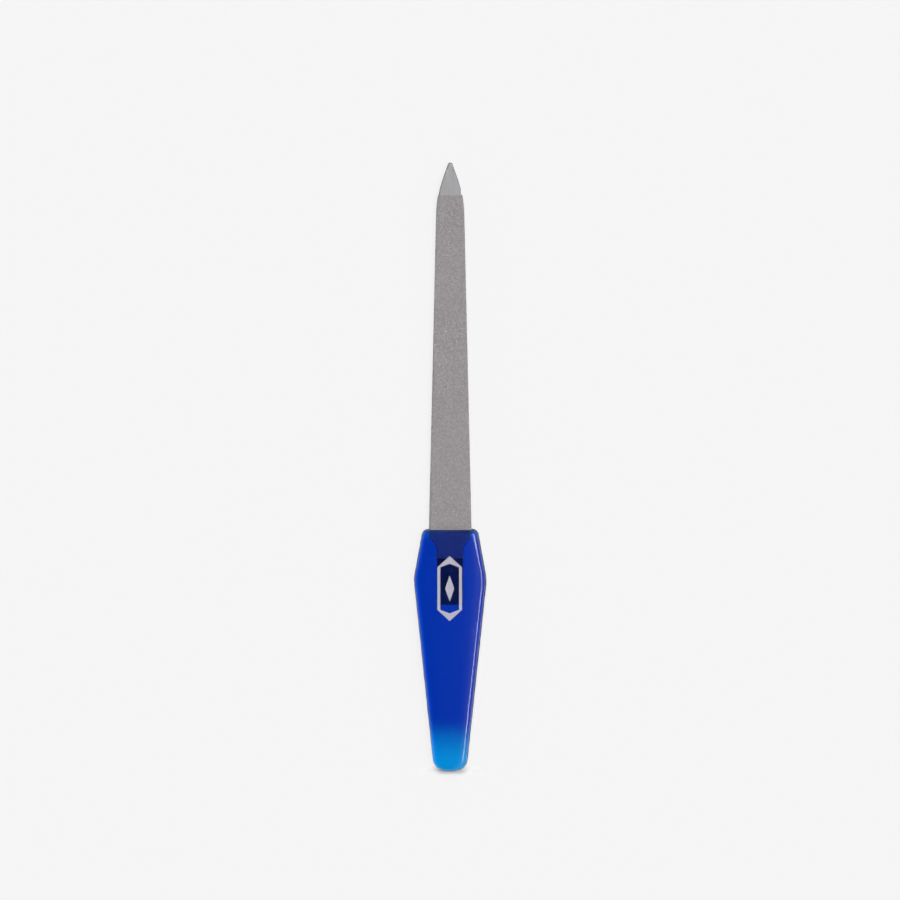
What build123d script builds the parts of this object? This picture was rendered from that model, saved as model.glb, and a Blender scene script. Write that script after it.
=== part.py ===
from build123d import *
import math
import os

# Seven-inch nail file: a stamped steel blank with a bare cleaning point, abrasive coats on both
# faces of the blade, and a translucent handle moulded round the tang.
#
# Frame: the file lies flat on the back of its handle. +Y runs along the file to the point, X is the
# width, +Z is the thickness and points out of the front. The origin is at the centre of the foot of
# the bounding box.

# ---------------------------------------------------------------- driving dimensions (mm, degrees)

# Handle moulding
handle_length = 70.6          # butt to mouth
handle_thickness = 4.8
mouth_width = 15.8            # the widths are those of the sharp corners, before rounding
belly_width = 21.1
butt_width = 9.15
belly_from_mouth = 14.6       # the two straight runs of each side meet here
butt_bow = 0.4                # the butt end bows out by this much
mouth_corner_radius = 1.8
belly_radius = 14.0
butt_corner_radius = 3.8
side_draft = 4.0              # on each mould half, from the parting line to the face
face_edge_radius = 1.1
flash_reach = 0.08            # ridge of flash left along the parting line
flash_height = 0.16

# Steel blank
blade_reach = 107.4           # mouth to point
blank_thickness = 0.9
root_width = 12.2             # where the blade leaves the mouth
front_width = 7.72            # where the straight blade would meet the straight point
point_angle = 39.6            # included
point_radius = 0.7
point_blend_radius = 34.0     # rounds the corner between the blade and the point
blank_edge_round = 0.3        # stamped edges, tumbled round on both faces
shoulder_depth = 1.8          # full width runs on this far inside the mouth
shoulder_run = 3.2            # length of the sloping shoulder, down to the tang
tang_width = 7.5
tang_depth = 22.0             # mouth to the end of the tang
shoulder_radius = 1.2
tang_end_radius = 1.5

# Step beside the point, on the right-hand edge only: the edge is cut back parallel to the axis
step_depth = 0.3              # at its inner corner
step_before_coat = 0.5        # from its inner corner to the edge of the coat
step_slope = 0.9              # fall of its outer side, for each mm of width
step_radius = 0.4

# Abrasive coats
coat_thickness = 0.12
bare_point_length = 9.7       # point to the edge of the coat
coat_in_handle = 8.4          # the coat carries on this far inside the mouth

# Fit of the moulding round the tang and the coat
moulding_clearance = 0.02

# Foil mark on the front of the handle
foil_thickness = 0.04
mark_from_mouth = 17.2        # mouth to the middle of the mark
mark_length = 19.0
mark_width = 7.2
mark_shoulder = 6.2           # half length of the parallel sides of its frame
mark_stroke = 0.85
lozenge_length = 7.6
lozenge_width = 2.7

# ------------------------------------------------------------------------------ places from those

total_length = handle_length + blade_reach + flash_reach
point_y = total_length / 2
mouth_y = point_y - blade_reach
butt_y = mouth_y - handle_length
mid_z = handle_thickness / 2

half_angle = math.radians(point_angle / 2)
point_corner_y = point_y + point_radius * (1 / math.sin(half_angle) - 1)
front_y = point_corner_y - front_width / 2 / math.tan(half_angle)
blade_taper = (root_width - front_width) / 2 / (front_y - mouth_y)

shoulder_y = mouth_y - shoulder_depth
neck_y = shoulder_y - shoulder_run
tang_end_y = mouth_y - tang_depth
shoulder_width = root_width + 2 * blade_taper * shoulder_depth

coat_front_y = point_y - bare_point_length
coat_back_y = mouth_y - coat_in_handle

# The round between blade and point may use up at most nine tenths of the straight side of the point.
point_side = front_width / 2 / math.sin(half_angle) - point_radius / math.tan(half_angle)
point_turn = half_angle - math.atan(blade_taper)
blend_radius = min(point_blend_radius, 0.9 * point_side / math.tan(point_turn / 2))


def corners_at(sketch, y):
    """The corners of a sketch that lie on the line across the file at y."""
    return sketch.vertices().filter_by_position(Axis.Y, y - 0.001, y + 0.001)


# -------------------------------------------------------------------------------- blank outline

with BuildSketch() as plain_outline:
    with BuildLine():
        Polyline(
            (0, point_corner_y),
            (front_width / 2, front_y),
            (shoulder_width / 2, shoulder_y),
            (tang_width / 2, neck_y),
            (tang_width / 2, tang_end_y),
            (-tang_width / 2, tang_end_y),
            (-tang_width / 2, neck_y),
            (-shoulder_width / 2, shoulder_y),
            (-front_width / 2, front_y),
            close=True,
        )
    make_face()
    fillet(corners_at(plain_outline, tang_end_y), tang_end_radius)
    fillet(corners_at(plain_outline, neck_y), shoulder_radius)
    fillet(corners_at(plain_outline, shoulder_y), shoulder_radius)
    fillet(corners_at(plain_outline, front_y), blend_radius)
    fillet(corners_at(plain_outline, point_corner_y), point_radius)

# The step takes off what lies outside a line parallel to the axis, down to its own sloping side.
step_y = coat_front_y + step_before_coat
edge_at_step = plain_outline.sketch & Line((0, step_y), (root_width, step_y))
step_x = edge_at_step.vertices().sort_by(Axis.X)[-1].X - step_depth

with BuildSketch() as blank_outline:
    add(plain_outline.sketch)
    with BuildLine():
        Polyline(
            (step_x, step_y),
            (step_x + root_width, step_y - step_slope * root_width),
            (step_x + root_width, point_y),
            (step_x, point_y),
            close=True,
        )
    make_face(mode=Mode.SUBTRACT)
    beside_step = blank_outline.vertices().filter_by_position(Axis.Y, coat_front_y, point_y)
    step_corners = beside_step.filter_by_position(Axis.X, step_x - 0.001, root_width)
    fillet(step_corners, step_radius)


def coated_stretch(grow, end_play):
    """The blank's outline between the two ends of the coat, grown by `grow` all round.

    `end_play` lengthens it at the end that lies inside the handle.
    """
    back_y = coat_back_y - end_play
    with BuildSketch() as stretch:
        add(blank_outline.sketch)
        offset(amount=grow, kind=Kind.ARC)
        with Locations((0, (coat_front_y + back_y) / 2)):
            Rectangle(2 * root_width, coat_front_y - back_y, mode=Mode.INTERSECT)
    return stretch.sketch


def rounded_plate(outline, grow):
    """A plate on the blank's mid-plane, `grow` thicker than the blank on each face.

    Its long edges are rounded so that it stays parallel to the blank. Square ends stay square.
    """
    with BuildPart() as plate:
        with BuildSketch(Plane.XY.offset(mid_z)):
            add(outline)
        extrude(amount=blank_thickness / 2 + grow, both=True)
        faces_up_and_down = plate.faces().filter_by(Axis.Z)
        long_edges = faces_up_and_down.edges().filter_by(Axis.X, reverse=True)
        fillet(long_edges, blank_edge_round + grow)
    return plate.part


# ----------------------------------------------------------------------------------- steel blank

blank_plate = rounded_plate(blank_outline.sketch, 0)

with BuildPart() as blade_blank:
    add(blank_plate)
blade_blank.part.label = "blade_blank"

# ------------------------------------------------------------------------------- abrasive coats
# Each coat is laid on one face and wraps round the edges to the mid-plane, where the two meet.

coat_plate = rounded_plate(coated_stretch(coat_thickness, 0), coat_thickness)

with BuildPart() as coarse_grit_face:
    add(coat_plate)
    add(blank_plate, mode=Mode.SUBTRACT)
    split(bisect_by=Plane.XY.offset(mid_z), keep=Keep.TOP)
coarse_grit_face.part.label = "coarse_grit_face"

with BuildPart() as fine_grit_face:
    add(coat_plate)
    add(blank_plate, mode=Mode.SUBTRACT)
    split(bisect_by=Plane.XY.offset(mid_z), keep=Keep.BOTTOM)
fine_grit_face.part.label = "fine_grit_face"

# ---------------------------------------------------------------------------------------- handle

with BuildSketch() as handle_outline:
    butt_corner_y = butt_y + butt_bow
    belly_y = mouth_y - belly_from_mouth
    with BuildLine():
        Polyline(
            (-butt_width / 2, butt_corner_y),
            (-belly_width / 2, belly_y),
            (-mouth_width / 2, mouth_y),
            (mouth_width / 2, mouth_y),
            (belly_width / 2, belly_y),
            (butt_width / 2, butt_corner_y),
        )
        ThreePointArc(
            (butt_width / 2, butt_corner_y),
            (0, butt_y),
            (-butt_width / 2, butt_corner_y),
        )
    make_face()
    fillet(corners_at(handle_outline, mouth_y), mouth_corner_radius)
    fillet(corners_at(handle_outline, belly_y), belly_radius)
    fillet(corners_at(handle_outline, butt_corner_y), butt_corner_radius)

socket_grow = coat_thickness + moulding_clearance
coat_socket = rounded_plate(coated_stretch(socket_grow, moulding_clearance), socket_grow)

with BuildSketch() as tang_socket_outline:
    add(blank_outline.sketch)
    offset(amount=moulding_clearance, kind=Kind.ARC)
tang_socket = rounded_plate(tang_socket_outline.sketch, moulding_clearance)

with BuildPart() as handle:
    with BuildSketch(Plane.XY.offset(mid_z)):
        add(handle_outline.sketch)
    extrude(amount=handle_thickness / 2, taper=side_draft)
    front_face = handle.faces().sort_by(Axis.Z)[-1]
    fillet(front_face.edges(), face_edge_radius)
    mirror(about=Plane.XY.offset(mid_z))

    with BuildSketch(Plane.XY.offset(mid_z - flash_height / 2)):
        add(handle_outline.sketch)
        offset(amount=flash_reach, kind=Kind.ARC)
    extrude(amount=flash_height)

    add(coat_socket, mode=Mode.SUBTRACT)
    add(tang_socket, mode=Mode.SUBTRACT)
handle.part.label = "handle"

# ------------------------------------------------------------------------------------- foil mark
# A plain frame with a small lozenge inside it, stamped in foil on the front of the handle.


def mark_frame(inset):
    """Corners of the mark's six-sided frame, set in from its outer edge."""
    half_width = mark_width / 2 - inset
    half_length = mark_length / 2 - inset * mark_length / mark_width
    return [
        (0, half_length),
        (half_width, mark_shoulder),
        (half_width, -mark_shoulder),
        (0, -half_length),
        (-half_width, -mark_shoulder),
        (-half_width, mark_shoulder),
    ]


with BuildPart() as foil_mark:
    with BuildSketch(Plane.XY.offset(handle_thickness)):
        with Locations((0, mouth_y - mark_from_mouth)):
            Polygon(*mark_frame(0), align=None)
            Polygon(*mark_frame(mark_stroke), align=None, mode=Mode.SUBTRACT)
            Polygon(
                (0, lozenge_length / 2),
                (lozenge_width / 2, 0),
                (0, -lozenge_length / 2),
                (-lozenge_width / 2, 0),
                align=None,
            )
    extrude(amount=foil_thickness)
foil_mark.part.label = "foil_mark"

# ------------------------------------------------------------------------------------ STEP files

os.makedirs("parts", exist_ok=True)
export_step(blade_blank.part, "parts/blade_blank.step")
export_step(coarse_grit_face.part, "parts/coarse_grit_face.step")
export_step(fine_grit_face.part, "parts/fine_grit_face.step")
export_step(handle.part, "parts/handle.step")
export_step(foil_mark.part, "parts/foil_mark.step")

print("overall length", round(total_length, 2))
print("taper of each blade edge", round(math.degrees(math.atan(blade_taper)), 2), "degrees")
print("round between blade and point", round(blend_radius, 2))
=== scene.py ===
# %% [markdown]
# # A coated nail file
#
# The file is a stamped steel blank with a bare cleaning point. Both faces of its blade carry
# abrasive grit, coarse on the front and fine on the back, and a translucent blue handle is moulded
# round the tang. The steel, the two coats and the foil mark come as finished parts in a fixed frame.
# This lesson adds what makes them look real: loose grains of grit, a handle with rounded edges and a
# ragged parting line, and a finish for every surface.

# %% Load the frame
import math

import bmesh
import bpy
import numpy as np
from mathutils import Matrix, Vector


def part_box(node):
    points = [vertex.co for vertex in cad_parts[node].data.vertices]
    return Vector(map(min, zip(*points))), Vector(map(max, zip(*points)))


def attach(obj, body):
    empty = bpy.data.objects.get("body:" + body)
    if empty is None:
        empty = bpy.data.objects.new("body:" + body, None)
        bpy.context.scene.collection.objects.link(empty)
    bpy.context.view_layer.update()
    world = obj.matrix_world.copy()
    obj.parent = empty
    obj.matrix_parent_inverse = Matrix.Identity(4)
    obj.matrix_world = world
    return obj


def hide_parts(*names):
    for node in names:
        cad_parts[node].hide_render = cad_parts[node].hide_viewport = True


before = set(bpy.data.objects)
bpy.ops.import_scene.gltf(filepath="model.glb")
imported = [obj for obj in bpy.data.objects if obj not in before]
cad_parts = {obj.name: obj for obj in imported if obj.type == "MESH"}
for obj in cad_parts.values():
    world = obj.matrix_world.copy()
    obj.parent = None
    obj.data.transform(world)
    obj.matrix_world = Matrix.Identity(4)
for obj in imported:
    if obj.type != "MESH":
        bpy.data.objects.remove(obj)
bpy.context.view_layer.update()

MM = 0.001
BODY = "root"

handle_low, handle_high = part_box("handle")
blank_low, blank_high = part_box("blade_blank")
coat_low, coat_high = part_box("coarse_grit_face")
mid_z = (blank_low.z + blank_high.z) / 2

print("pieces in the frame:", sorted(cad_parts))
print("length in mm:", round((blank_high.y - handle_low.y) / MM, 1))
print("bare point in mm:", round((blank_high.y - coat_high.y) / MM, 1))

# %% [markdown]
# ## Writing node trees as sums
#
# A finish is a tree of small nodes. Adding and linking them one by one hides what the tree works
# out. `Wire` wraps an output socket and takes part in ordinary sums, so `1 - worn * 0.3` adds the
# Math nodes that work it out. `Tree.node` adds any other node: its settings go in first, because
# they can change which sockets it has, and then the values or wires of its sockets. The rest of
# `Tree` is short names for the nodes that every finish uses.


# %% A wire and a tree
class Wire:
    """An output socket that can stand in a sum with numbers and other wires."""

    def __init__(self, tree, socket):
        self.tree = tree
        self.socket = socket

    def out(self, name):
        """Another output of the same node."""
        return Wire(self.tree, self.socket.node.outputs[name])

    def __add__(self, other):
        return self.tree.maths("ADD", self, other)

    def __radd__(self, other):
        return self.tree.maths("ADD", other, self)

    def __sub__(self, other):
        return self.tree.maths("SUBTRACT", self, other)

    def __rsub__(self, other):
        return self.tree.maths("SUBTRACT", other, self)

    def __mul__(self, other):
        return self.tree.maths("MULTIPLY", self, other)

    def __rmul__(self, other):
        return self.tree.maths("MULTIPLY", other, self)

    def __truediv__(self, other):
        return self.tree.maths("DIVIDE", self, other)

    def __rtruediv__(self, other):
        return self.tree.maths("DIVIDE", other, self)


class Tree:
    """A node tree that is being written: a material's, the world's or a Geometry Nodes group's."""

    def __init__(self, node_tree):
        self.node_tree = node_tree
        self.node_tree.nodes.clear()

    def node(self, kind, settings=None, sockets=None, output=0):
        """Adds a node, first its settings and then its sockets, and gives one of its outputs."""
        made = self.node_tree.nodes.new(kind)
        for name, value in (settings or {}).items():
            setattr(made, name, value)
        for name, value in (sockets or {}).items():
            if isinstance(value, Wire):
                self.node_tree.links.new(value.socket, made.inputs[name])
            else:
                made.inputs[name].default_value = value
        return Wire(self, made.outputs[output]) if len(made.outputs) else None

    def maths(self, operation, *values, clamp=False):
        """A Math node. With clamp, its result stays between 0 and 1."""
        settings = {"operation": operation, "use_clamp": clamp}
        return self.node("ShaderNodeMath", settings, dict(enumerate(values)))

    def size_of(self, value):
        """A number without its sign."""
        return self.maths("ABSOLUTE", value)

    def between(self, value, start, end, curve="SMOOTHSTEP"):
        """0 where value is at start, 1 where it is at end, and a smooth change between them."""
        sockets = {"Value": value, "From Min": start, "From Max": end}
        return self.node("ShaderNodeMapRange", {"interpolation_type": curve}, sockets)

    def place(self):
        """Where a point of the surface lies in the frame, in metres."""
        return self.node("ShaderNodeTexCoord", output="Object")

    def axis_of(self, vector, axis):
        """One number of a vector. The other two are further outputs of the same node."""
        return self.node("ShaderNodeSeparateXYZ", None, {"Vector": vector}, axis)

    def stored(self, name):
        """A number that was stored on the mesh."""
        return self.node("ShaderNodeAttribute", {"attribute_name": name}, output="Fac")

    def noise(self, place, scale, detail=2.0, roughness=0.5):
        """Smooth noise from 0 to 1. Scale is in blotches a metre."""
        sockets = {"Vector": place, "Scale": scale, "Detail": detail, "Roughness": roughness}
        return self.node("ShaderNodeTexNoise", None, sockets, "Fac")

    def streaks(self, place, scales, detail=2.0, roughness=0.5):
        """Noise with its own scale along each axis, so that its blotches are drawn out."""
        drawn = self.node("ShaderNodeMapping", None, {"Vector": place, "Scale": scales})
        return self.noise(drawn, 1.0, detail, roughness)

    def mix(self, factor, first, second):
        """A colour between two others. A Mix node's colour sockets come after its other ones."""
        sockets = {0: factor, 6: first, 7: second}
        return self.node("ShaderNodeMix", {"data_type": "RGBA"}, sockets, 2)

    def layered(self, colour, *layers):
        """A colour with others laid over it in turn, each as strongly as its mask says."""
        for mask, layer in layers:
            colour = self.mix(mask, colour, layer)
        return colour

    def bump(self, height, reach):
        """A normal from a height of 0 to 1, where 1 stands for reach, in metres."""
        sockets = {"Height": height, "Distance": reach}
        return self.node("ShaderNodeBump", None, sockets, "Normal")


print("Wire and Tree are ready")

# %% [markdown]
# Every finish starts as an empty tree and ends in one Principled surface.


# %% Starting and ending a finish
def new_finish(name):
    """A material and its empty tree."""
    material = bpy.data.materials.new(name)
    material.use_nodes = True
    return material, Tree(material.node_tree)


def surface(tree, sockets, volume=None):
    """Ends a material's tree with a Principled surface."""
    ends = {"Surface": tree.node("ShaderNodeBsdfPrincipled", None, sockets)}
    if volume is not None:
        ends["Volume"] = volume
    tree.node("ShaderNodeOutputMaterial", None, ends)


def put_on(node, material):
    """Gives a part of the frame its finish."""
    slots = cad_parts[node].data.materials
    slots.clear()
    slots.append(material)
    print(material.name, "on", node)


def grey(value):
    """A neutral colour."""
    return (value, value, value, 1.0)


print("a finish starts with new_finish and ends with surface")

# %% [markdown]
# ## The ground steel
#
# The point is ground and lightly polished along its length, so its grain runs that way. The tang is
# left as the stamping and hardening made it, dark with scale, and it is the darkest thing behind the
# plastic. Both are one piece of steel, so one finish changes along its length at the edge of the
# coat. The grain is noise whose unit is short across the file and long along it. The stamped edges
# were tumbled, which rounds and dulls them, and the finish finds them by how far they lean.

# %% Steel finish
PALE_STEEL = (0.237, 0.232, 0.24, 1)
DEEP_STEEL = (0.187, 0.184, 0.19, 1)
TUMBLED_STEEL = (0.11, 0.108, 0.108, 1)
PALE_SCALE = (0.30, 0.26, 0.23, 1)
DARK_SCALE = (0.14, 0.12, 0.11, 1)


def ground_steel():
    """Bright at the point, dull on its tumbled edges, and dark with scale inside the handle."""
    material, tree = new_finish("ground_steel")
    place = tree.place()
    along = tree.axis_of(place, "Y")
    scaled = tree.between(along, coat_low.y + 0.6 * MM, coat_low.y - 0.2 * MM)
    grain = tree.streaks(place, (9000, 350, 9000), 3.0, 0.6)
    broad_grain = tree.streaks(place, (1700, 120, 1700))
    scale_blotch = tree.noise(place, 900.0, 4.0, 0.6)

    facing = tree.node("ShaderNodeNewGeometry", output="Normal")
    upright = tree.size_of(tree.axis_of(facing, "Z"))
    dulled = tree.between(upright, 0.995, 0.93)

    bright = tree.mix(broad_grain, DEEP_STEEL, PALE_STEEL)
    bright = tree.mix(dulled * 0.6, bright, TUMBLED_STEEL)
    dark = tree.mix(scale_blotch, DARK_SCALE, PALE_SCALE)
    surface(
        tree,
        {
            "Base Color": tree.mix(scaled, bright, dark),
            "Metallic": 0.55 - scaled * 0.25,
            "Roughness": 0.43 + grain * 0.14 + scaled * 0.1 + dulled * 0.2,
            "Normal": tree.bump(grain, 0.006 * MM),
        },
    )
    return material


put_on("blade_blank", ground_steel())

# %% [markdown]
# ## The bond and the grains
#
# Grit is held in a grey bond that wets the foot of every grain, so no steel shows between them. The
# bond's finish is dull and rough, and it has broad, faint patches of warmer and cooler grey, as a
# coat has that was brushed on and dried. The grains take the same patches, so both read the same
# noise in the same place. Inside the handle the coat was never used, and both are painted far paler
# there: painted light that stands in for the light that the plastic keeps from them.


# %% What bond and grains share
def coat_patches(tree, place):
    """Patches of tone in a coat, from 0 to 1: broad soft ones, and clumps a few grains wide."""
    broad = tree.streaks(place, (420, 160, 420), 3.0, 0.6)
    clumps = tree.between(tree.noise(place, 1300.0, 3.0, 0.65), 0.36, 0.64)
    return broad * 0.35 + clumps * 0.65


def clean_and_painted_light(tree, place):
    """1 inside the handle, where the coat is clean and painted paler as painted light, 0 on the
    blade.
    """
    along = tree.axis_of(place, "Y")
    return tree.between(along, handle_high.y, handle_high.y - 0.3 * MM)


print("a coat is used on the blade and clean inside the handle")

# %% [markdown]
# The coarse coat is the darker of the two, and its grains differ more in tone. Grains are hard and
# clear, so they shine a little and bend light more than the bond does.

# %% Bond and grain finishes
# inside the handle: the clean coat painted far paler, painted light for what the plastic keeps from
# it
CLEAN_BOND_PAINTED_LIGHT = (0.66, 0.62, 0.62, 1)
CLEAN_GRAIN_PAINTED_LIGHT = (0.68, 0.64, 0.64, 1)


def bond_finish(name, cool, warm):
    """The dried bond, lumpy where it has crept up between grains."""
    material, tree = new_finish(name)
    place = tree.place()
    lumps = tree.noise(place, 9000.0, 3.0, 0.7)
    used = tree.mix(coat_patches(tree, place), cool, warm)
    surface(
        tree,
        {
            "Base Color": tree.mix(clean_and_painted_light(tree, place), used, CLEAN_BOND_PAINTED_LIGHT),
            "Roughness": 0.55 + lumps * 0.25,
            "Normal": tree.bump(lumps, 0.05 * MM),
        },
    )
    return material


def grain_finish(name, dull, bright, warm):
    """Crushed sapphire: each grain has its own tone, stored on it when it was scattered."""
    material, tree = new_finish(name)
    place = tree.place()
    tone = tree.stored("tone")
    used = tree.mix(coat_patches(tree, place) * 0.6, tree.mix(tone, dull, bright), warm)
    surface(
        tree,
        {
            "Base Color": tree.mix(clean_and_painted_light(tree, place), used, CLEAN_GRAIN_PAINTED_LIGHT),
            "Roughness": 0.42 - tone * 0.22,
            "IOR": 1.77,
        },
    )
    return material


coarse_bond = bond_finish("coarse_bond", (0.103, 0.103, 0.112, 1), (0.175, 0.155, 0.153, 1))
fine_bond = bond_finish("fine_bond", (0.15, 0.15, 0.16, 1), (0.20, 0.185, 0.185, 1))
coarse_grain = grain_finish("coarse_grain", grey(0.057), grey(0.33), (0.225, 0.193, 0.196, 1))
fine_grain = grain_finish("fine_grain", grey(0.12), grey(0.32), (0.24, 0.215, 0.215, 1))

put_on("coarse_grit_face", coarse_bond)
put_on("fine_grit_face", fine_bond)

# %% [markdown]
# ## The grit
#
# Thousands of loose grains are what Geometry Nodes are for. They are scattered over the outer skin
# of a coat, so that skin comes first: a copy of the coat without the faces that lie against the
# steel, close its two ends or meet the other coat.


# %% The skin that a coat's grains sit on
def outer_skin(node):
    """A copy of a coat's outer faces: those that look away from the middle of the blade."""
    skin = bmesh.new()
    skin.from_mesh(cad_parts[node].data)
    bmesh.ops.remove_doubles(skin, verts=skin.verts, dist=0.0005 * MM)
    skin.normal_update()
    left_out = []
    for face in skin.faces:
        middle = face.calc_center_median()
        outward = Vector((middle.x, 0, middle.z - mid_z)).normalized()
        looks_in = face.normal.dot(outward) < 0.05
        is_end = abs(face.normal.y) > 0.95
        is_joint = abs(middle.z - mid_z) < 0.01 * MM
        if looks_in or is_end or is_joint:
            left_out.append(face)
    bmesh.ops.delete(skin, geom=left_out, context="FACES")
    mesh = bpy.data.meshes.new(node + "_skin")
    skin.to_mesh(mesh)
    skin.free()
    area = sum(polygon.area for polygon in mesh.polygons)
    print(node, "skin:", len(mesh.polygons), "faces,", round(area / MM**2), "square mm")
    return mesh


coarse_skin = outer_skin("coarse_grit_face")
fine_skin = outer_skin("fine_grit_face")

# %% [markdown]
# The tree's inputs are the sizes that differ between the two coats: how far apart the grains stand,
# how large they are, and how deep their foot is sunk in the bond.

# %% Inputs of the grit tree
grit_group = bpy.data.node_groups.new("scatter_grit", "GeometryNodeTree")
grit_tree = Tree(grit_group)

for name, kind in (
    ("Skin", "NodeSocketGeometry"),
    ("Spacing", "NodeSocketFloat"),
    ("Smallest", "NodeSocketFloat"),
    ("Largest", "NodeSocketFloat"),
    ("Sink", "NodeSocketFloat"),
    ("Seed", "NodeSocketInt"),
    ("Finish", "NodeSocketMaterial"),
):
    grit_group.interface.new_socket(name, in_out="INPUT", socket_type=kind)
grit_group.interface.new_socket("Grains", in_out="OUTPUT", socket_type="NodeSocketGeometry")

given = grit_tree.node("NodeGroupInput", output="Skin")
spacing = given.out("Spacing")
seed = given.out("Seed")
print("the grit tree has", len(grit_group.interface.items_tree) - 1, "inputs")

# %% [markdown]
# Every grain differs, so the tree draws random values for each. The seeds of the draws follow from
# the tree's own seed, so one number changes them all, and the same number repeats them.


# %% Random values for each grain
def random_vector(lowest, highest, own_seed):
    """A random vector for each grain."""
    sockets = {0: lowest, 1: highest, "Seed": own_seed}
    return grit_tree.node("FunctionNodeRandomValue", {"data_type": "FLOAT_VECTOR"}, sockets)


def random_number(lowest, highest, own_seed):
    """A random number for each grain. The node's number sockets come after its vector ones."""
    sockets = {2: lowest, 3: highest, "Seed": own_seed}
    return grit_tree.node("FunctionNodeRandomValue", {"data_type": "FLOAT"}, sockets, 1)


print("random vectors and numbers are ready")

# %% [markdown]
# Points are scattered over the skin, no nearer to each other than the spacing. Each is then moved
# against its normal, into the bond, to make a seat for a grain.


# %% Seats in the bond
def scaled_vector(vector, scale):
    """A vector, longer or shorter."""
    return grit_tree.node(
        "ShaderNodeVectorMath", {"operation": "SCALE"}, {0: vector, "Scale": scale}
    )


POINTS_TRIED = 2.2  # for each square of the spacing

seats = grit_tree.node(
    "GeometryNodeDistributePointsOnFaces",
    {"distribute_method": "POISSON"},
    {
        "Mesh": given,
        "Distance Min": spacing,
        "Density Max": POINTS_TRIED / (spacing * spacing),
        "Seed": seed,
    },
)
inward = scaled_vector(seats.out("Normal"), given.out("Sink") * -1)
sunk_seats = grit_tree.node(
    "GeometryNodeSetPosition", None, {"Geometry": seats, "Offset": inward}
)
print(POINTS_TRIED, "points are tried for each square of the spacing")

# %% [markdown]
# A crystal is an octahedron, because a piece that is repeated so often may have only a few faces. A
# sphere of four segments and two rings is one. Each is turned, sized and stretched at random, so no
# two look alike.

# %% Crystals on the seats
NO_TURN = (0.0, 0.0, 0.0)
FULL_TURN = (2 * math.pi, 2 * math.pi, 2 * math.pi)
SHORTEST = (0.7, 0.7, 0.7)
LONGEST = (1.25, 1.25, 1.25)

crystal = grit_tree.node(
    "GeometryNodeMeshUVSphere", None, {"Segments": 4, "Rings": 2, "Radius": 1.0}
)
crystal_turn = random_vector(NO_TURN, FULL_TURN, seed)
crystal_size = random_number(given.out("Smallest"), given.out("Largest"), seed + 1)
crystal_shape = scaled_vector(random_vector(SHORTEST, LONGEST, seed + 2), crystal_size)
crystals = grit_tree.node(
    "GeometryNodeInstanceOnPoints",
    None,
    {
        "Points": sunk_seats,
        "Instance": crystal,
        "Rotation": crystal_turn,
        "Scale": crystal_shape,
    },
)
print("a crystal is stretched by", SHORTEST[0], "to", LONGEST[0])

# %% [markdown]
# Each crystal is given a tone while it is still one instance, so that all its faces share it. Then
# the instances become real faces, and the last node gives them their finish.

# %% Tone and finish of the grains
toned = grit_tree.node(
    "GeometryNodeStoreNamedAttribute",
    {"data_type": "FLOAT", "domain": "INSTANCE"},
    {"Geometry": crystals, "Name": "tone", "Value": random_number(0.0, 1.0, seed + 3)},
)
loose = grit_tree.node("GeometryNodeRealizeInstances", None, {"Geometry": toned})
finished = grit_tree.node(
    "GeometryNodeSetMaterial", None, {"Geometry": loose, "Material": given.out("Finish")}
)
grit_tree.node("NodeGroupOutput", None, {"Grains": finished})
print("the grit tree has", len(grit_group.nodes), "nodes")

# %% [markdown]
# A Geometry Nodes modifier only shows its result. Reading the evaluated object gives that result as
# a mesh of its own, and the object that carried the modifier is thrown away. The front gets the
# larger grains and the back the finer ones.


# %% Grains on both faces
def through_nodes(name, mesh, group, inputs):
    """Runs a mesh through a Geometry Nodes group and gives the result as a plain object."""
    source = bpy.data.objects.new(name + "_source", mesh)
    bpy.context.scene.collection.objects.link(source)
    modifier = source.modifiers.new("nodes", "NODES")
    modifier.node_group = group
    for item in group.interface.items_tree:
        if item.in_out == "INPUT" and item.name in inputs:
            modifier[item.identifier] = inputs[item.name]
    graph = bpy.context.evaluated_depsgraph_get()
    made = bpy.data.meshes.new_from_object(source.evaluated_get(graph))
    bpy.data.objects.remove(source)
    made.name = name
    piece = bpy.data.objects.new(name, made)
    bpy.context.scene.collection.objects.link(piece)
    print(name, "has", len(made.polygons), "faces")
    return piece


coarse_grains = through_nodes(
    "coarse_grains",
    coarse_skin,
    grit_group,
    {
        "Spacing": 0.23 * MM,
        "Smallest": 0.10 * MM,
        "Largest": 0.20 * MM,
        "Sink": 0.06 * MM,
        "Seed": 11,
        "Finish": coarse_grain,
    },
)
fine_grains = through_nodes(
    "fine_grains",
    fine_skin,
    grit_group,
    {
        "Spacing": 0.21 * MM,
        "Smallest": 0.08 * MM,
        "Largest": 0.14 * MM,
        "Sink": 0.05 * MM,
        "Seed": 23,
        "Finish": fine_grain,
    },
)
for grains, slot in ((coarse_grains, "coarse_grit"), (fine_grains, "fine_grit")):
    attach(grains, BODY)

# %% [markdown]
# ## The outline of the handle
#
# The handle is widest a fifth of the way down from its mouth, and tapers to a rounded butt. Its
# outline is six corners, each rounded to its own radius. Every edge of the moulding runs parallel to
# that outline, so the outline is worked out once, as points with their outward directions, and the
# moulding is rings of those points moved in, out, up and down.

# %% Sizes of the outline
BUTT_WIDTH = 9.15 * MM  # the widths are those of the sharp corners, before rounding
BELLY_WIDTH = 21.1 * MM
MOUTH_WIDTH = 15.8 * MM
BELLY_FROM_MOUTH = 14.6 * MM
BUTT_RADIUS = 3.8 * MM
BELLY_RADIUS = 14.0 * MM
MOUTH_RADIUS = 1.8 * MM
FRAME_FLASH = 0.08 * MM  # the frame's handle has a plain flash, which its box takes in

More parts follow.
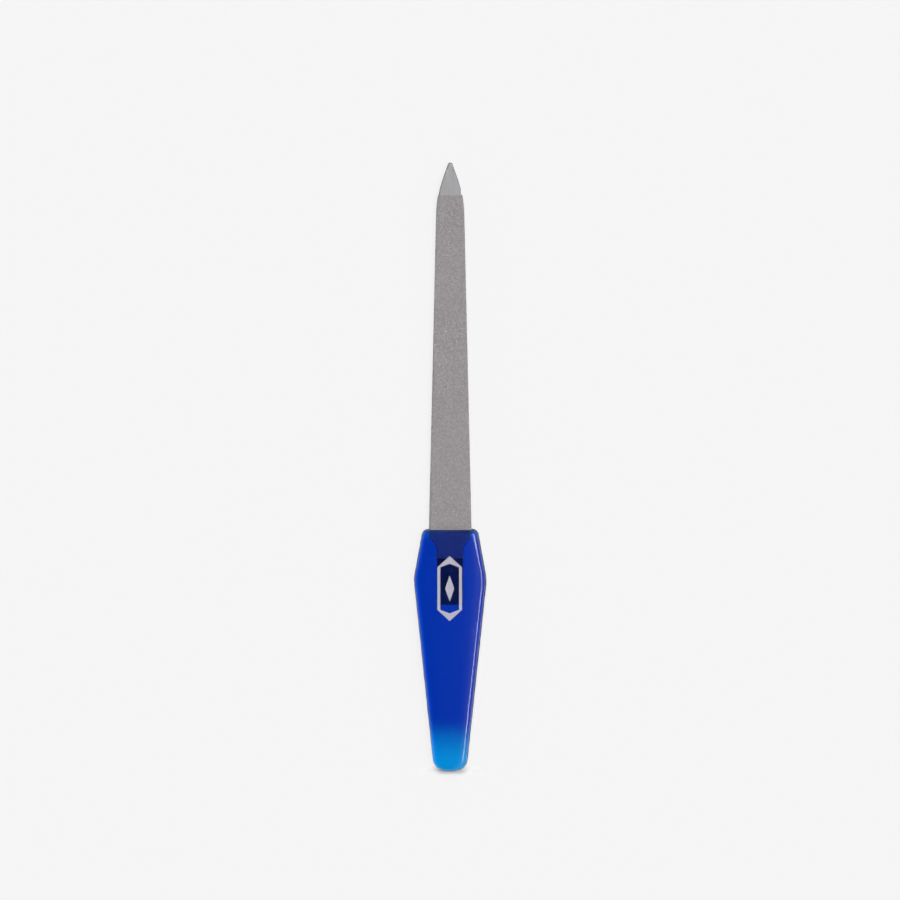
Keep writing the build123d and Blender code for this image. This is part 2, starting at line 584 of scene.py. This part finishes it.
mouth_y = handle_high.y - FRAME_FLASH
butt_y = handle_low.y + FRAME_FLASH
belly_y = mouth_y - BELLY_FROM_MOUTH
CORNERS = (
    # half width, place along the file, radius
    (BUTT_WIDTH / 2, butt_y, BUTT_RADIUS),
    (BELLY_WIDTH / 2, belly_y, BELLY_RADIUS),
    (MOUTH_WIDTH / 2, mouth_y, MOUTH_RADIUS),
)
print("handle length in mm:", round((mouth_y - butt_y) / MM, 1))

# %% [markdown]
# A rounded corner is an arc that touches both of its straight lines. Its centre lies on the line
# that halves the corner, and from there each point of the arc lies straight outwards.


# %% Corners of the outline
def rounded_corner(before, corner, after, radius, steps=24):
    """Points and outward directions round one corner of an outline that runs anticlockwise."""
    back = (before - corner).normalized()
    ahead = (after - corner).normalized()
    half = back.angle(ahead) / 2
    centre = corner + (back + ahead).normalized() * (radius / math.sin(half))
    start = corner + back * (radius / math.tan(half)) - centre
    end = corner + ahead * (radius / math.tan(half)) - centre
    directions = [start.slerp(end, step / steps).normalized() for step in range(steps + 1)]
    return [(centre + direction * radius, direction) for direction in directions]


right_corners = [Vector((half, y)) for half, y, radius in CORNERS]
left_corners = [Vector((-half, y)) for half, y, radius in reversed(CORNERS)]
loop = right_corners + left_corners
radii = [radius for half, y, radius in CORNERS + CORNERS[::-1]]
corners = [
    rounded_corner(loop[number - 1], loop[number], loop[(number + 1) % len(loop)], radii[number])
    for number in range(len(loop))
]
print("outline:", len(corners), "corners of", len(corners[0]), "points")

# %% [markdown]
# The flat faces are filled by a grid that runs from side to side and from butt to mouth. For that
# the outline is cut in four at the middle of its end corners: right side, mouth, left side, butt.
# Each line is divided anew, finer near its ends, where the outline turns.

# %% The outline cut in four
SIDE_POINTS = 150
END_POINTS = 44
EVENNESS = 0.35  # 1 spaces the points of a line evenly, 0 crowds them at its ends


def resampled(line, count):
    """The same line of points and directions, with count of each."""
    places = np.array([tuple(place) for place, direction in line])
    directions = np.array([tuple(direction) for place, direction in line])
    steps = np.linalg.norm(np.diff(places, axis=0), axis=1)
    run = np.concatenate([[0], np.cumsum(steps)])
    even = np.linspace(0, 1, count)
    eased = EVENNESS * even + (1 - EVENNESS) * (1 - np.cos(np.pi * even)) / 2
    wanted = eased * run[-1]
    place = np.stack([np.interp(wanted, run, places[:, axis]) for axis in (0, 1)], axis=1)
    direction = np.stack([np.interp(wanted, run, directions[:, axis]) for axis in (0, 1)], axis=1)
    return place, direction / np.linalg.norm(direction, axis=1)[:, None]


half_way = len(corners[0]) // 2
right_side = corners[0][half_way:] + corners[1] + corners[2][: half_way + 1]
mouth_end = corners[2][half_way:] + corners[3][: half_way + 1]
left_side = corners[3][half_way:] + corners[4] + corners[5][: half_way + 1]
butt_end = corners[5][half_way:] + corners[0][: half_way + 1]
lines = [
    resampled(right_side, SIDE_POINTS),
    resampled(mouth_end, END_POINTS),
    resampled(left_side, SIDE_POINTS),
    resampled(butt_end, END_POINTS),
]
outline = np.concatenate([place[:-1] for place, direction in lines])
outward = np.concatenate([direction[:-1] for place, direction in lines])
print("outline has", len(outline), "points")

# %% [markdown]
# The butt isn't quite straight: its middle bows out. So the points near it are drawn in towards the
# mouth, and those in the middle stay where they are.

# %% The bow of the butt
BUTT_BOW = 0.4 * MM
BOW_FADES_OVER = 1.2 * MM
BOW_HALF_WIDTH = 4.0 * MM

near_butt = np.clip(1 - (outline[:, 1] - butt_y) / BOW_FADES_OVER, 0, 1) ** 2
kept_out = np.clip(1 - (outline[:, 0] / BOW_HALF_WIDTH) ** 2, 0, 1)
outline[:, 1] += BUTT_BOW * near_butt * (1 - kept_out)
print("the butt bows out by", round(BUTT_BOW / MM, 1), "mm")

# %% [markdown]
# ## The moulding
#
# The handle was moulded in two halves that met at its middle. Its sides therefore lean in by a few
# degrees each way from the parting line, where a thin ridge of flash was squeezed out and trimmed
# unevenly. The front face is a little crowned, so its edges slope before the round begins. One list
# of insets and heights, from the front round to the back, describes all of it, and a ring of points
# is made from each.
#
# A crown that falls away as the fourth power of the distance from its middle meets its side with a
# slope of four times its height to its half width. So the slope sets the height.

# %% Rings of one mould half
HALF_THICKNESS = (handle_high.z - handle_low.z) / 2
ROUND = 1.1 * MM
ROUND_STEPS = 12
DRAFT = math.radians(4.0)
CROWN_SLOPE = math.radians(3.0)
CROWN_POWER = 4
FLASH_HALF = 0.08 * MM
ABOVE_FLASH = 0.7 * MM  # one more ring here keeps the side straight down to the flash

side_y = outline[:SIDE_POINTS, 1]
side_x = outline[:SIDE_POINTS, 0]
face_half_width = np.interp(outline[:, 1], side_y, side_x) - ROUND


def crown_height(half_width, slope):
    """How far the middle of a crowned face stands above its sides."""
    return half_width * math.tan(slope) / CROWN_POWER


def half_section(slope):
    """Insets and heights of one mould half, from its face to the flash, for every outline point.

    The face leans by slope where the round takes over, and its middle stands level with the top.
    """
    crown = crown_height(face_half_width, slope)
    centre_height = HALF_THICKNESS - crown - ROUND * math.cos(slope)
    meets_side = centre_height + ROUND * math.sin(DRAFT)
    centre_inset = meets_side * math.tan(DRAFT) + ROUND * math.cos(DRAFT)
    section = [
        (centre_inset - ROUND * math.cos(turn), centre_height + ROUND * math.sin(turn))
        for turn in np.linspace(math.pi / 2 - slope, DRAFT, ROUND_STEPS)
    ]
    for height in (ABOVE_FLASH, FLASH_HALF):
        section.append((height * math.tan(DRAFT), height))
    return section


front_section = half_section(CROWN_SLOPE)
back_section = [(inset, -height) for inset, height in reversed(half_section(0))]
print("each mould half has", len(front_section), "rings")

# %% [markdown]
# The flash is ragged, so its reach changes round the outline. Smoothed random steps give it a torn
# look, and a fixed seed tears it the same way every time.

# %% The ragged flash
LEAST_FLASH = 0.13 * MM
FLASH_VARIES_BY = 0.13 * MM
FLASH_SECTION = (
    # share of the reach, height above the middle
    (0.8, 0.05 * MM),
    (1.0, 0.0),
    (0.8, -0.05 * MM),
)

ragged = np.random.default_rng(7).uniform(0, 1, len(outline))
ragged = 0.5 * ragged + 0.25 * np.roll(ragged, 1) + 0.25 * np.roll(ragged, -1)
flash_reach = LEAST_FLASH + FLASH_VARIES_BY * ragged
print(
    "flash reaches", round(flash_reach.min() / MM, 3), "to", round(flash_reach.max() / MM, 3), "mm"
)

# %% [markdown]
# With the flash between the two halves, every ring of the moulding is known.


# %% Rings from front to back
def ring_at(inset, height):
    """The outline moved in by inset, at a height above the middle of the handle."""
    flat = outline - outward * np.asarray(inset).reshape(-1, 1)
    return np.column_stack([flat, mid_z + height + np.zeros(len(flat))])


rings = [ring_at(inset, height) for inset, height in front_section]
rings += [ring_at(-flash_reach * share, height) for share, height in FLASH_SECTION]
rings += [ring_at(inset, height) for inset, height in back_section]
print("the moulding has", len(rings), "rings")

# %% [markdown]
# A face grid is a Coons patch: each point is blended from the four edge lines that it lies between.
# Its edge points are those of the ring beside it, so merging by distance closes the shell.

# %% The two faces
CROWN_END_POWER = 60  # the crown keeps its height until close to the butt and the mouth


def face_grid(ring, slope):
    """A grid of points that fills a ring. It rises from the given slope at its sides to level."""
    last = SIDE_POINTS - 1
    over = END_POINTS - 1
    rows = np.arange(SIDE_POINTS)
    columns = np.arange(END_POINTS)
    right_line = ring[rows]
    top_line = ring[last + over - columns]
    left_line = ring[2 * last + over - rows]
    bottom_line = ring[(2 * last + over + columns) % len(ring)]
    v = (rows / last)[:, None, None]
    u = (columns / over)[None, :, None]
    up_and_down = (1 - v) * bottom_line[None] + v * top_line[None]
    side_to_side = (1 - u) * left_line[:, None] + u * right_line[:, None]
    ends = (1 - v) * ((1 - u) * bottom_line[0] + u * bottom_line[-1])
    ends = ends + v * ((1 - u) * top_line[0] + u * top_line[-1])
    grid = up_and_down + side_to_side - ends
    at_side = np.abs(2 * u[..., 0] - 1) ** CROWN_POWER
    at_end = np.abs(2 * v[..., 0] - 1) ** CROWN_END_POWER
    grid[..., 2] += crown_height(grid[:, -1:, 0], slope) * (1 - at_side) * (1 - at_end)
    return grid.reshape(-1, 3)


front_face = face_grid(rings[0], CROWN_SLOPE)
back_face = face_grid(rings[-1], 0)
print("each face has", len(front_face), "points")

# %% [markdown]
# The shell's points stand in one list: all the rings, then both face grids. A face names its
# corners by their numbers in that list.


# %% Faces of the shell
def strip_faces(first, second, count):
    """Quads between two rings of count points, given the number of each ring's first point."""
    return [
        (first + i, first + (i + 1) % count, second + (i + 1) % count, second + i)
        for i in range(count)
    ]


def grid_faces(start):
    """Quads of a face grid, given the number of its first point."""
    quads = []
    for row in range(SIDE_POINTS - 1):
        for column in range(END_POINTS - 1):
            corner = start + row * END_POINTS + column
            quads.append((corner, corner + 1, corner + END_POINTS + 1, corner + END_POINTS))
    return quads


shell_points = np.concatenate(rings + [front_face, back_face])
ring_size = len(outline)
shell_faces = []
for number in range(len(rings) - 1):
    shell_faces += strip_faces((number + 1) * ring_size, number * ring_size, ring_size)
shell_faces += grid_faces(len(rings) * ring_size)
shell_faces += grid_faces(len(rings) * ring_size + len(front_face))
print("handle:", len(shell_points), "points,", len(shell_faces), "faces before merging")

# %% [markdown]
# Edges catch wear first. Each point of the rings carries three numbers for the finish to read: how
# near it is to the turn of the round, where scuffs gather, how near it is to the rim of a face,
# where a painted glow goes, and whether it lies on the flash.


# %% Wear and painted glow on the rings
def bell(values, middle, width):
    """1 where a value is at the middle, and soon 0 on both sides of it."""
    return np.exp(-(((values - middle) / width) ** 2))


level = np.abs(np.concatenate(rings)[:, 2] - mid_z) / HALF_THICKNESS
flash_rings = np.zeros(len(rings))
flash_rings[len(front_section):len(front_section) + len(FLASH_SECTION)] = 1
ring_values = {
    "exposed": bell(level, 0.86, 0.12),
    # the rim carries a painted glow, on the left side only
    "rim": bell(level, 0.84, 0.13),
    "flash": np.repeat(flash_rings, ring_size),
}
print("each ring point carries", ", ".join(ring_values))

# %% [markdown]
# The rings and the face grids share no points yet. Merging the points that coincide joins them, and
# then every edge has two faces and the shell holds a volume. Edges sharper than the round stay
# sharp, which here are only those of the flash.

# %% Handle mesh
handle_mesh = bpy.data.meshes.new("handle_moulding")
handle_mesh.from_pydata([tuple(point) for point in shell_points], [], shell_faces)
for name, values in ring_values.items():
    attribute = handle_mesh.attributes.new(name, "FLOAT", "POINT")
    on_faces = np.zeros(len(shell_points) - len(values))
    everywhere = np.concatenate([values, on_faces])
    attribute.data.foreach_set("value", everywhere.astype(np.float32))

shell = bmesh.new()
shell.from_mesh(handle_mesh)
bmesh.ops.remove_doubles(shell, verts=shell.verts, dist=0.001 * MM)
bmesh.ops.recalc_face_normals(shell, faces=shell.faces)
open_edges = [edge for edge in shell.edges if len(edge.link_faces) != 2]
print("open edges:", len(open_edges), " volume in cubic mm:", round(shell.calc_volume() / MM**3))
shell.to_mesh(handle_mesh)
shell.free()
handle_mesh.shade_smooth()
handle_mesh.set_sharp_from_angle(angle=math.radians(50))

handle = bpy.data.objects.new("handle_moulding", handle_mesh)
bpy.context.scene.collection.objects.link(handle)

# %% [markdown]
# ## Deep blue plastic
#
# The plastic is clear and dyed. Light that crosses it loses red first, then green, so thin places
# are paler and the tang shows through as a dark shape. Real absorption inside a closed shell does
# that, with a tint on the surface for the rest of the dye. The tint isn't the same all over, and
# most of its changes are painted light and shade, not dye. So the tree starts with masks, each from
# 0 to 1, for the places where it changes.

# %% Where the plastic changes, and where light and shade are painted on it
NECK_FROM_MOUTH = 5.0 * MM  # the coat inside widens from its neck to its shoulder
SHOULDER_RUN = 3.2 * MM
NECK_HALF_WIDTH = 4.0 * MM
SHOULDER_HALF_WIDTH = 6.3 * MM
# the butt's painted glow reaches this far from its end, and ends in a line that wanders by DRIFT
BUTT_GLOW_LENGTH = 17 * MM
DRIFT = 3 * MM  # the pale butt ends in a line that wanders by about this much

plastic, plastic_tree = new_finish("blue_plastic")
plastic_place = plastic_tree.place()
across = plastic_tree.axis_of(plastic_place, "X")
along = across.out("Y")
from_middle = plastic_tree.size_of(across)
from_mouth = handle_high.y - along
from_butt = along - handle_low.y

drift = (plastic_tree.noise(plastic_place, 160.0) - 0.5) * DRIFT
# painted glow: the plastic is painted paler and cyan over the last part towards the butt
painted_butt_glow = plastic_tree.between(from_butt + drift, BUTT_GLOW_LENGTH, 1 * MM, "SMOOTHERSTEP")
# painted light: a pale rim painted round the edge of the butt
painted_butt_rim_light = plastic_tree.between(from_butt, 0.75 * MM, 0.3 * MM)
# painted shade: a dark line painted across the mouth
painted_mouth_shade = plastic_tree.between(from_mouth, 1.3 * MM, 0.6 * MM)
# painted glow: a paler band painted along the left rim only
painted_left_rim_glow = plastic_tree.stored("rim") * plastic_tree.between(across, 1 * MM, -3 * MM)
beside_blade = plastic_tree.between(from_middle, 5.2 * MM, 6.6 * MM)
# painted glow: the corners beside the blade, near the mouth, are painted paler
painted_corner_glow = beside_blade * plastic_tree.between(from_mouth, 3.4 * MM, 1.2 * MM)

# painted light: the plastic over the coat is painted redder and paler, for the light that comes back
# from it
shoulder = plastic_tree.maths("DIVIDE", NECK_FROM_MOUTH - from_mouth, SHOULDER_RUN, clamp=True)
coat_half_width = NECK_HALF_WIDTH + shoulder * (SHOULDER_HALF_WIDTH - NECK_HALF_WIDTH)
painted_light_over_coat = plastic_tree.between(from_middle - coat_half_width, 0.2 * MM, -0.2 * MM)
painted_light_over_coat = painted_light_over_coat * plastic_tree.between(along, coat_low.y - 0.3 * MM, coat_low.y + 0.3 * MM)
print("the butt pales over its last", round(BUTT_GLOW_LENGTH / MM), "mm")

# %% [markdown]
# Scuffs are patches on the turn of the round, rough and pale because they scatter light. Scratches
# are fine, run along the handle and lie anywhere on it. A slow ripple, as a moulding has where it
# shrank, keeps long reflections from being ruler-straight.

# %% Scuffs and scratches
on_flash = plastic_tree.stored("flash")
scuffs = plastic_tree.streaks(plastic_place, (2600, 900, 2600), 4.0, 0.65)
scuffs = plastic_tree.between(scuffs, 0.56, 0.7)
scratches = plastic_tree.streaks(plastic_place, (5200, 240, 5200))
scratches = plastic_tree.between(scratches, 0.66, 0.7)
scuffed = plastic_tree.stored("exposed") * scuffs * 0.5
ripple = plastic_tree.noise(plastic_place, 220.0, 1.0)
relief = ripple * 0.25 - scratches * 0.12 + (scuffed + on_flash) * scuffs * 0.3
print("scuffs, scratches and a ripple make the relief")

# %% [markdown]
# The dye is a stack of tints, each laid over the ones before it, and most of them are painted light
# and shade. Over the coat it is painted redder and paler, for light that comes back from the coat
# across little of the plastic. A painted glow makes the left rim, the corners beside the blade and
# the butt paler, a painted light runs round the butt's edge, and painted shade draws a dark line
# across the mouth. The scuffs are wear. The torn flash is darker than the rest and has its own,
# shorter stack, with the same painted glow and shade.

# %% The dye, with painted light and shade
DEEP_BLUE = (0.03, 0.122, 0.585, 1)
# every layer after the first is painted light and shade, except the scuffs, which are wear
dye = plastic_tree.layered(
    DEEP_BLUE,
    (painted_light_over_coat, (0.48, 0.166, 0.50, 1)),
    (painted_left_rim_glow * 0.7, (0.12, 0.40, 0.60, 1)),
    (painted_corner_glow * 0.35, (0.06, 0.55, 0.80, 1)),
    (painted_butt_glow, (0.02, 1.0, 1.0, 1)),
    (painted_left_rim_glow * painted_butt_glow * 0.4, (0.03, 0.66, 0.80, 1)),
    (painted_butt_rim_light * 0.8, (0.55, 0.62, 0.42, 1)),
    (painted_mouth_shade * 0.8, (0.05, 0.04, 0.16, 1)),
    (scuffed, (0.24, 0.28, 0.58, 1)),
)

FLASH_BLUE = (0.06, 0.09, 0.27, 1)
# the flash's own tint, with the same painted glow at the butt and painted shade at the mouth
flash_dye = plastic_tree.layered(
    FLASH_BLUE,
    (painted_butt_glow, (0.12, 0.34, 0.45, 1)),
    (painted_mouth_shade, (0.02, 0.025, 0.09, 1)),
)
print("the dye starts from", DEEP_BLUE[:3])

# %% [markdown]
# The finish itself is clear, with a polish that scratches and scuffs break up and the absorption
# inside. Its reflections are held back a little, so that the dark rims stay dark.

# %% Plastic finish
LET_THROUGH = (0.5, 0.843, 0.974, 1)  # red, green and blue that the plastic lets through
absorption = plastic_tree.node(
    "ShaderNodeVolumeAbsorption", None, {"Color": LET_THROUGH, "Density": 1500.0}
)
surface(
    plastic_tree,
    {
        "Base Color": plastic_tree.mix(on_flash, dye, flash_dye),
        "Roughness": 0.06 + scratches * 0.12 + scuffed * 0.35 + on_flash * 0.3,
        "IOR": 1.49,
        "Specular Tint": grey(0.6),
        "Transmission Weight": 1.0,
        "Normal": plastic_tree.bump(relief, 0.02 * MM),
    },
    absorption,
)
handle_mesh.materials.append(plastic)
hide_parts("handle")
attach(handle, BODY)
print("blue plastic on", handle.name)

# %% [markdown]
# ## The foil mark
#
# The mark is a frame and a lozenge of silver foil, pressed on hot. Foil takes the fine texture of
# the plastic under it, so it is softer than a mirror, and it has small gaps where it didn't take.

# %% Foil finish
PALE_FOIL = (0.34, 0.33, 0.38, 1)
DEEP_FOIL = (0.25, 0.24, 0.285, 1)
BARE_PLASTIC = (0.20, 0.22, 0.45, 1)


def silver_foil():
    """Foil with the grain of the plastic in it, and the plastic's own colour in its gaps."""
    material, tree = new_finish("silver_foil")
    place = tree.place()
    press = tree.noise(place, 2600.0, 3.0, 0.6)
    gaps = tree.between(tree.noise(place, 5200.0, 2.0, 0.6), 0.66, 0.72)
    silver = tree.mix(press, DEEP_FOIL, PALE_FOIL)
    surface(
        tree,
        {
            "Base Color": tree.mix(gaps * 0.8, silver, BARE_PLASTIC),
            "Metallic": 0.7 - gaps * 0.4,
            "Roughness": 0.46 + press * 0.16,
            "Normal": tree.bump(press - gaps * 0.5, 0.02 * MM),
        },
    )
    return material


put_on("foil_mark", silver_foil())

# %% [markdown]
# ## Light
#
# Glossy plastic shows what is around it, so the surroundings are the light. It is a pale studio with
# a dark card above the left and the middle, which keeps the face deep in colour, and a bright box to
# the right of the card, which draws the line down the right-hand edge. The tree works out two angles
# from straight up, one towards the right and one along the file, and turns them into brightness. In
# the world, Generated coordinates are the direction that light comes from. Near the horizon all of
# it fades to the tone of the floor.

# %% Studio
PAPER = 0.913  # the tone of the walls, and of the floor as it is seen
DARKEST_CARD = 0.05
CARD_PALES_BY = 0.85
BOX_BRIGHTNESS = 13.5

world = bpy.data.worlds.new("studio")
world.use_nodes = True
bpy.context.scene.world = world
sky = Tree(world.node_tree)
rightward = sky.axis_of(sky.node("ShaderNodeTexCoord", output="Generated"), "X")
upward = rightward.out("Z")


def degrees_from_top(towards):
    """The angle from straight up, measured towards one side."""
    return sky.maths("ARCTAN2", towards, upward) * (180 / math.pi)


right_angle = degrees_from_top(rightward)
along_angle = degrees_from_top(rightward.out("Y"))
high = sky.between(upward, 0.40, 0.58)

card = sky.between(right_angle, -80.0, -68.0) * sky.between(right_angle, 12.0, 2.0)
card_tone = DARKEST_CARD + sky.between(right_angle, -4.8, 1.0) * CARD_PALES_BY
box = sky.between(right_angle, 10.0, 13.0) * sky.between(right_angle, 32.0, 29.0)
box = box * sky.between(sky.size_of(along_angle), 19.0, 12.0)

brightness = PAPER - high * card * (PAPER - card_tone) + high * box * BOX_BRIGHTNESS
background = sky.node(
    "ShaderNodeBackground", None, {"Color": grey(1.0), "Strength": brightness}
)
sky.node("ShaderNodeOutputWorld", None, {"Surface": background})
print("studio: dark card above, box of", BOX_BRIGHTNESS, "to its right")

# %% [markdown]
# One soft lamp beyond the point casts the small shadow behind the butt. The plastic neither mirrors
# nor shows it, so that its light adds no stray gleams inside the handle.

# %% Lamp
LAMP_TILT = 28  # degrees from straight above

lamp = bpy.data.lights.new("soft_lamp", "SUN")
lamp.energy = 2.75
lamp.angle = math.radians(24)
lamp_object = bpy.data.objects.new("soft_lamp", lamp)
lamp_object.rotation_euler = (math.radians(-LAMP_TILT), 0, 0)
lamp_object.visible_glossy = False
lamp_object.visible_transmission = False
bpy.context.scene.collection.objects.link(lamp_object)
print("lamp stands beyond the point,", 90 - LAMP_TILT, "degrees above the floor")

# %% [markdown]
# ## Floor and camera
#
# The floor is a pale sheet that glows, like a light table. The glow shines up through the plastic
# and leaves hardly a shadow. Just beyond the butt the sheet doesn't glow: there it is pale only from
# the light that falls on it, and painted a touch darker than the rest, a faint painted shade, so the
# handle's real shadow shows and seats it on the floor. The sheet lies a hair below the handle, so
# the two surfaces never coincide.

# %% Floor
FLOOR_GAP = 0.2 * MM
FLOOR_HALF = 4.0  # metres from its middle to each side
GLOW = grey(0.795)
DARK = grey(0.0)
# the patch beyond the butt, painted a touch darker than the glowing paper
SHADE_PATCH_PAPER = grey(0.470)


def glowing_paper():
    """Paper that glows, all but a patch just beyond the butt, painted a touch darker as faint
    painted shade.
    """
    material, tree = new_finish("glowing_paper")
    place = tree.place()
    fibres = tree.noise(place, 900.0, 3.0, 0.6)
    sideways = tree.axis_of(place, "X")
    beyond_butt = handle_low.y - sideways.out("Y")
    # the patch that doesn't glow: faint painted shade, where the handle's real shadow also falls
    shade_patch = tree.between(beyond_butt, -1.5 * MM, 0.2 * MM)
    shade_patch = shade_patch * tree.between(beyond_butt, 1.7 * MM, 0.5 * MM)
    shade_patch = shade_patch * tree.between(tree.size_of(sideways), 12 * MM, 7 * MM)
    lit_paper = tree.mix(fibres, grey(0.057), grey(0.063))
    surface(
        tree,
        {
            "Base Color": tree.mix(shade_patch, lit_paper, SHADE_PATCH_PAPER),
            "Roughness": 0.9,
            "Specular IOR Level": 0.0,
            "Emission Color": tree.mix(shade_patch, GLOW, DARK),
            "Emission Strength": 1.0,
        },
    )
    return material


sheet = bmesh.new()
bmesh.ops.create_grid(sheet, x_segments=8, y_segments=8, size=FLOOR_HALF)
bmesh.ops.translate(sheet, verts=sheet.verts, vec=(0, 0, handle_low.z - FLOOR_GAP))
floor_mesh = bpy.data.meshes.new("floor")
sheet.to_mesh(floor_mesh)
sheet.free()
floor_mesh.materials.append(glowing_paper())
floor = bpy.data.objects.new("floor", floor_mesh)
bpy.context.scene.collection.objects.link(floor)
print("the floor lies", round(FLOOR_GAP / MM, 1), "mm below the handle")

# %% [markdown]
# The camera looks down on the file with its point upwards, and stands a few degrees to the right, so
# that a little of the handle's right side shows. A long lens keeps the sides nearly parallel.

# %% Camera
LEAN = math.radians(4.0)
DISTANCE = 0.988
AIM_RIGHT = -0.07 * MM
AIM_AHEAD = 4.9 * MM

aim = Vector((AIM_RIGHT, AIM_AHEAD, mid_z))
camera = bpy.data.cameras.new("camera")
camera.lens = 135
camera.sensor_width = 36
camera_object = bpy.data.objects.new("camera", camera)
camera_object.location = aim + DISTANCE * Vector((math.sin(LEAN), 0, math.cos(LEAN)))
camera_object.rotation_euler = (0, LEAN, 0)
bpy.context.scene.collection.objects.link(camera_object)
bpy.context.scene.camera = camera_object
bpy.context.scene.view_settings.view_transform = "Standard"
print("camera", DISTANCE, "m from the file")
